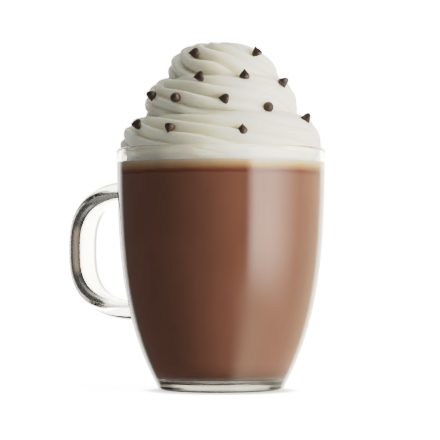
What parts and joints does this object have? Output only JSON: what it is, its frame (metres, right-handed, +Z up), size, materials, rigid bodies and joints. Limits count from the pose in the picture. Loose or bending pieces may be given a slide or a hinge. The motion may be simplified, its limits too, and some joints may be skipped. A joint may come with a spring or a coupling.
{
  "type": "caffe mocha in a glass mug",
  "caption": "Coffee and chocolate drink in a tall clear glass mug with a D handle, topped with a piped swirl of whipped cream and small chocolate chips.",
  "frame": {"origin": "centre of the mug's flat underside, on the mug's axis, at the level it stands on", "axes": "+Z up along the mug's axis, -X towards the handle, +Y to the handle's right-hand side seen from the axis"},
  "size_m": [0.1277, 0.092, 0.1526],
  "materials": {
    "clear_glass": "clear pressed glass, glossy",
    "mocha": "opaque milky coffee and chocolate drink, wet",
    "foam": "fine tan foam where the cream meets the drink",
    "cream": "soft whipped cream, dull with a faint sheen"
  },
  "bodies": {
    "root": {"glass_mug": "clear_glass", "mocha_drink": "mocha", "milk_foam": "foam", "whipped_cream": "cream"}
  },
  "joints": []
}
